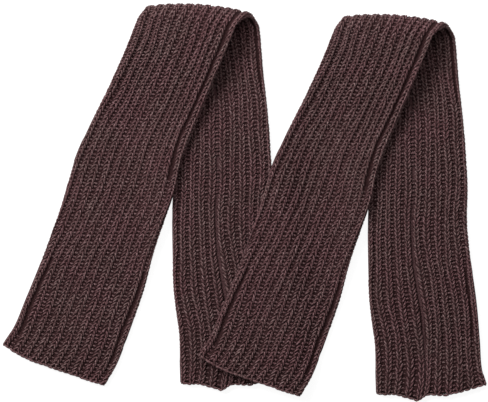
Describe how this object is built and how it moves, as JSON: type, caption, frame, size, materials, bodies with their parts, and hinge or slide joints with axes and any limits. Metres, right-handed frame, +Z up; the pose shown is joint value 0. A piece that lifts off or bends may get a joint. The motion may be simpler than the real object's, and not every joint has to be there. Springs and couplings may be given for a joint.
{
  "type": "pair of knitted arm sleeves",
  "caption": "Pair of rib-knitted arm sleeves, open tubes pressed flat and each folded over once, lying overlapped on a surface.",
  "frame": {"origin": "middle of the pair's footprint, on the surface that it lies on", "axes": "+X to the right across the pair, +Y towards the folds, +Z up from the surface"},
  "size_m": [0.3878, 0.3184, 0.0236],
  "materials": {
    "brown_wool_rib": "matt heathered rib knit"
  },
  "bodies": {
    "root": {"left_sleeve": "brown_wool_rib", "right_sleeve": "brown_wool_rib"}
  },
  "joints": []
}
